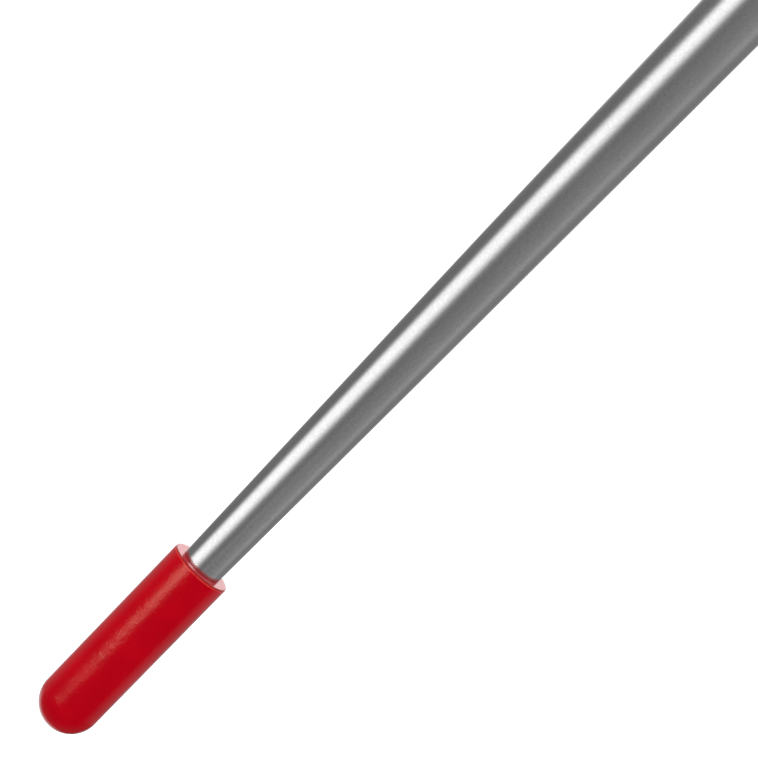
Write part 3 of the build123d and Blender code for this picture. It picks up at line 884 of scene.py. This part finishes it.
def make_top_weld():
    """A ring over the bevelled seam: r = R + lift (1 - t^2), t from toe to toe.

    Ripples and a slow wander ride on the lift; the last row is the bead's root.
    """
    crown = box("top_weld")[1][0] - TUBE_R
    columns = TOP_RIPPLES * RIPPLE_COLUMNS
    angle = np.linspace(0, 2 * np.pi, columns, endpoint=False)
    scale, wander = ripples(angle, TOP_RIPPLES, 1)
    t = np.linspace(-1, 1, 13)[:, None]
    lift = crown * CROWN_SHARE * (1 - t ** 2) + (scale + wander * TOP_CALM) * (1 - t ** 2)
    skew = BEAD_SWELL * (1 - t ** 2) * np.cos(np.pi * t)
    r = TUBE_R + np.clip(lift, 0, crown - CROWN_GAP)
    z = TUBE_TOP + t * (WELD_PREP - TOE_GAP) + skew * np.sin(3 * angle) * TOP_CALM
    root_r = np.full((1, columns), TUBE_R - WELD_PREP)
    root_z = np.full((1, columns), TUBE_TOP)
    r, z = np.vstack([r, root_r]), np.vstack([z, root_z])
    grid = np.stack([r * np.cos(angle), r * np.sin(angle), z], axis=-1)
    return grid_object("top_weld_bead", grid, wrap_rows=True, sharp=60)


def foot_bead(side, foot_z, seed):
    """A fillet round a handle's foot: its section swings from the handle to the tube.

    At angle a round the foot, q is the distance from the foot's axis and the tube's
    surface stands at x = sqrt(R^2 - (q cos a)^2).
    """
    columns = FOOT_RIPPLES * RIPPLE_COLUMNS
    angle = np.linspace(0, 2 * np.pi, columns, endpoint=False)
    scale, wander = ripples(angle, FOOT_RIPPLES, seed)
    t = np.linspace(0, 1, 11)[:, None]
    swell = np.sin(np.pi * t) * (BEAD_SWELL + scale + wander)
    leg = WELD_LEG - BEAD_SWELL
    q = HANDLE_R + leg * t + swell * SWELL_SLANT
    surface = np.sqrt(TUBE_R ** 2 - (q * np.cos(angle)) ** 2)
    x = surface + leg * (1 - t) + swell * SWELL_SLANT
    root_q = np.array([[HANDLE_R + leg], [HANDLE_R - WELD_ROOT]]) + 0 * angle
    root_x = np.sqrt(TUBE_R ** 2 - (root_q * np.cos(angle)) ** 2) - WELD_ROOT
    root_x[1] += WELD_ROOT + leg
    q, x = np.vstack([q, root_q]), np.vstack([x, root_x])
    grid = np.stack([side * x, q * np.cos(angle), foot_z + q * np.sin(angle)], axis=-1)
    if side > 0:
        grid = grid[::-1]
    return closed_grid(grid, wrap_rows=True)


def make_handle_welds():
    """The four beads at the handles' feet as one mesh."""
    feet = [(side, foot_z) for side in (1, -1) for foot_z in (FOOT_LOW, FOOT_HIGH)]
    beads = [foot_bead(side, foot_z, seed) for seed, (side, foot_z) in enumerate(feet, 1)]
    return mesh_object("handle_weld_beads", *together(beads), sharp=60)


stand_for(make_top_weld(), "top_weld", "driver")
stand_for(make_handle_welds(), "handle_welds", "driver")


# --- stage, light and camera ------------------------------------------------------------

FLOOR_CLEARANCE = 0.03
FLOOR_SIZE = 60.0
FLOOR_SHADE = 0.9
FLOOR_GLOW = 0.6
WHITE = (1, 1, 1, 1)
floor_z = -joint_range["tip_cap_pull"][1] - FLOOR_CLEARANCE


def make_floor():
    """A wide white floor, seen only from above, that lights nothing by itself."""
    half = FLOOR_SIZE / 2
    corners = np.array([
        [-half, -half, floor_z], [half, -half, floor_z],
        [half, half, floor_z], [-half, half, floor_z],
    ])
    floor = mesh_object("floor", corners, [np.array([[0, 1, 2, 3]])])
    material = bpy.data.materials.new("white_floor")
    material.use_nodes = True
    tree = material.node_tree
    tree.nodes.clear()
    matte = node(tree, "ShaderNodeBsdfDiffuse", {"Color": (*(FLOOR_SHADE,) * 3, 1)})
    glow = node(tree, "ShaderNodeEmission", {"Color": WHITE, "Strength": FLOOR_GLOW})
    lit = node(tree, "ShaderNodeAddShader", {0: matte.outputs[0], 1: glow.outputs[0]})
    clear = node(tree, "ShaderNodeBsdfTransparent")
    under = node(tree, "ShaderNodeNewGeometry").outputs["Backfacing"]
    shown = node(
        tree, "ShaderNodeMixShader", {0: under, 1: lit.outputs[0], 2: clear.outputs[0]}
    )
    out = node(tree, "ShaderNodeOutputMaterial")
    tree.links.new(shown.outputs[0], out.inputs["Surface"])
    floor.data.materials.append(material)
    floor.visible_glossy = False
    floor.visible_diffuse = False
    floor.visible_shadow = False


# brightness of the studio round the driver, by the angle from the camera's side:
# degrees to the right (+) or left (-), brightness
STUDIO = [
    (-180, 1.60), (-170, 1.40), (-156, 0.45), (-138, 0.23), (-100, 0.21), (-85, 0.25),
    (-75, 0.74), (-67, 1.40), (-57, 1.62), (-42, 1.62), (-32, 1.36), (-21, 0.80),
    (-11, 0.31), (2, 0.22), (30, 0.26), (62, 0.32), (88, 0.43), (110, 0.29),
    (138, 0.26), (156, 0.42), (170, 1.40), (180, 1.60),
]
STUDIO_MAX = 2.0
WALL_EDGES = (-85, -5)      # degrees of the bright wall's left and right edge
# The edges drift with height. Each pair is how far the edge stands to the left (+) or
# to the right (-) of the above, in degrees, low down and higher up.
LEFT_EDGE = (2.0, -15.5)
RIGHT_EDGE = (-3.5, 5.0)
RIGHT_LEAN = -5.5           # what eye level adds to the right edge
EYE_LEVEL = (-0.13, -0.045)     # heights of a direction between which they change
HALF_WAY_UP = (-0.29, -0.14)
HIGH_BOX = 1.7              # a soft box above the camera, from 27 to 40 degrees up
BOX_LEVELS = ((0.42, 0.50), (0.58, 0.68))
BOX_FRONT = (0.1, 0.35)
CEILING = 0.6
CEILING_LEVELS = (0.66, 0.8)
LOW_GLOW = 0.14             # how much a pale low wall right of the camera lights up
GLOW_TURNS = ((5, 25), (75, 100))
GLOW_LEVELS = (-0.25, -0.29)
GROUND_BELOW = 0.07         # the ground under the driver and to its right
GROUND_BEHIND = 1.0         # and behind it, to the left
GROUND_LEVELS = (-0.38, -0.6)
BEHIND_DEPTH = (-0.75, -0.25)
BEHIND_SIDE = (-0.05, 0.3)
RISE_SIDE = (0.25, 0.6)     # on the right the ground rises in front of the low walls
RISE_LEVELS = (-0.305, -0.345)
SOFT_FILL = 0.62
FILL_SIDE = -0.16           # what the diffuse light gains towards the right
FILL_TOP = 1.0              # and upwards


def grey(brightness):
    """A studio brightness as a colour of the reflected room."""
    return (brightness / STUDIO_MAX,) * 3


def shifted_turn(tree, turn, level):
    """A direction's turn, moved so that the bright wall's edges drift with height."""
    left = ramp_between(tree, level, *EYE_LEVEL, *np.radians(LEFT_EDGE))
    right = ramp_between(tree, level, *HALF_WAY_UP, *np.radians(RIGHT_EDGE))
    lean = ramp_between(tree, level, *EYE_LEVEL, 0.0, math.radians(RIGHT_LEAN))
    shift = node(
        tree, "ShaderNodeMapRange",
        {"Value": turn, "From Min": math.radians(WALL_EDGES[0]),
         "From Max": math.radians(WALL_EDGES[1]),
         "To Min": left, "To Max": maths(tree, "ADD", right, lean)},
    ).outputs[0]
    return maths(tree, "ADD", turn, shift)


def wall_colour(tree, turn):
    """The walls' brightness by turn, from the STUDIO list."""
    share = node(
        tree, "ShaderNodeMapRange",
        {"Value": turn, "From Min": -math.pi, "From Max": math.pi},
    )
    walls = node(tree, "ShaderNodeValToRGB", {"Fac": share.outputs[0]})
    ramp = walls.color_ramp
    ramp.interpolation = "EASE"
    while len(ramp.elements) > 1:
        ramp.elements.remove(ramp.elements[-1])
    for k, (degrees, brightness) in enumerate(STUDIO):
        place = (degrees + 180) / 360
        stop = ramp.elements[0] if k == 0 else ramp.elements.new(place)
        stop.position = place
        stop.color = (*grey(brightness), 1)
    return walls.outputs["Color"]


def room_colour(tree, side, toward, level):
    """What the gloss reflects: walls, soft box, pale low wall, ceiling and ground."""
    turn = shifted_turn(tree, maths(tree, "ARCTAN2", side, toward), level)
    soft_box = product(
        tree, between(tree, level, *BOX_LEVELS), ramp_between(tree, toward, *BOX_FRONT)
    )
    glow = product(
        tree, between(tree, turn, *np.radians(GLOW_TURNS)),
        ramp_between(tree, level, *GLOW_LEVELS, 0.0, LOW_GLOW),
    )
    rises = product(
        tree, ramp_between(tree, side, *RISE_SIDE), ramp_between(tree, level, *RISE_LEVELS)
    )
    low = maths(tree, "MAXIMUM", ramp_between(tree, level, *GROUND_LEVELS), rises)
    behind = product(
        tree,
        ramp_between(tree, toward, *BEHIND_DEPTH, 1.0, 0.0),
        ramp_between(tree, side, *BEHIND_SIDE, 1.0, 0.0),
    )
    ground = scaled(
        tree, behind, (GROUND_BEHIND - GROUND_BELOW) / STUDIO_MAX, GROUND_BELOW / STUDIO_MAX
    )
    room = wall_colour(tree, turn)
    room = blended(tree, soft_box, room, grey(HIGH_BOX))
    room = blended(tree, glow, room, grey(1.0))
    room = blended(tree, ramp_between(tree, level, *CEILING_LEVELS), room, grey(CEILING))
    return blended(tree, low, room, ground)


def make_studio():
    """World light: white to the camera, the room in reflections, a soft fill elsewhere."""
    world = bpy.data.worlds.new("studio")
    bpy.context.scene.world = world
    world.use_nodes = True
    tree = world.node_tree
    tree.nodes.clear()
    direction = node(tree, "ShaderNodeTexCoord").outputs["Generated"]
    parts = node(tree, "ShaderNodeSeparateXYZ", {0: direction})
    side, level = parts.outputs["X"], parts.outputs["Z"]
    toward = scaled(tree, parts.outputs["Y"], -1.0)
    room = room_colour(tree, side, toward, level)
    shine = node(tree, "ShaderNodeBackground", {"Color": room, "Strength": STUDIO_MAX})
    above = maths(tree, "MAXIMUM", level, 0.0)
    soft = maths(
        tree, "ADD", scaled(tree, side, FILL_SIDE * SOFT_FILL, SOFT_FILL),
        scaled(tree, product(tree, above, above), FILL_TOP * SOFT_FILL),
    )
    fill = node(tree, "ShaderNodeBackground", {"Color": WHITE, "Strength": soft})
    white = node(tree, "ShaderNodeBackground", {"Color": WHITE, "Strength": 1.0})
    path = node(tree, "ShaderNodeLightPath")
    light = node(
        tree, "ShaderNodeMixShader",
        {0: path.outputs["Is Glossy Ray"], 1: fill.outputs[0], 2: shine.outputs[0]},
    )
    seen = node(
        tree, "ShaderNodeMixShader",
        {0: path.outputs["Is Camera Ray"], 1: light.outputs[0], 2: white.outputs[0]},
    )
    out = node(tree, "ShaderNodeOutputWorld")
    tree.links.new(seen.outputs[0], out.inputs["Surface"])


STRIP_DISTANCE = 0.6        # from the driver's axis
STRIP_WIDTH = 0.25
STRIP_HIGH = 0.1            # height of the upper ends
# degrees to the right of the camera's side, lower end and brightness in a reflection,
# for the tall strip and for the short one over its upper part
STRIPS = {
    "cap_strip": (-33.5, -0.108, 45.0),
    "cap_strip_upper": (-40.0, -0.03, 36.0),
}
STRIP_COLOUR = (1.42, 1.0, 0.76)


def make_cap_strip(name, degrees, low, brightness, receivers):
    """A soft strip that shows only in the cap's gloss, beside the wide studio light."""
    data = bpy.data.lights.new(name, "AREA")
    data.shape = "RECTANGLE"
    data.color = STRIP_COLOUR
    data.size, data.size_y = STRIP_WIDTH, STRIP_HIGH - low
    data.energy = brightness * math.pi * data.size * data.size_y
    strip = bpy.data.objects.new(name, data)
    bpy.context.scene.collection.objects.link(strip)
    turn = math.radians(degrees)
    outward = np.array([math.sin(turn), -math.cos(turn), 0.0])
    across = np.array([math.cos(turn), math.sin(turn), 0.0])
    matrix = np.eye(4)
    matrix[:3, 0], matrix[:3, 1], matrix[:3, 2] = across, (0, 0, 1), outward
    matrix[:3, 3] = STRIP_DISTANCE * outward + np.array([0, 0, (low + STRIP_HIGH) / 2])
    strip.matrix_world = Matrix(matrix.tolist())
    strip.visible_diffuse = False
    strip.visible_camera = False
    strip.light_linking.receiver_collection = receivers


def make_cap_strips():
    """The strips, linked to the tip cap alone."""
    only_cap = bpy.data.collections.new("lit_by_cap_strips")
    only_cap.objects.link(tip_cap)
    for name, (degrees, low, brightness) in STRIPS.items():
        make_cap_strip(name, degrees, low, brightness, only_cap)


CAMERA_LENS = 146.21
CAMERA_SENSOR = 36.0
CAMERA_AIM = (-0.00152, 0.0, 0.21794)
CAMERA_DISTANCE = 1.3434
CAMERA_ELEVATION = 10.5
CAMERA_ROLL = 44.10


def make_camera():
    """A long lens, a little above the axis, rolled so that the driver lies aslant."""
    e, roll = math.radians(CAMERA_ELEVATION), math.radians(CAMERA_ROLL)
    back = np.array([0, -math.cos(e), math.sin(e)])
    level = np.array([1.0, 0.0, 0.0])
    upright = np.cross(back, level)
    right = math.cos(roll) * level + math.sin(roll) * upright
    up = np.cross(back, right)
    place = np.array(CAMERA_AIM) + CAMERA_DISTANCE * back
    data = bpy.data.cameras.new("camera")
    data.lens = CAMERA_LENS
    data.sensor_width = CAMERA_SENSOR
    camera = bpy.data.objects.new("camera", data)
    bpy.context.scene.collection.objects.link(camera)
    matrix = np.eye(4)
    matrix[:3, 0], matrix[:3, 1], matrix[:3, 2], matrix[:3, 3] = right, up, back, place
    camera.matrix_world = Matrix(matrix.tolist())
    bpy.context.scene.camera = camera


make_floor()
make_studio()
make_cap_strips()
make_camera()
bpy.context.scene.view_settings.view_transform = "Standard"
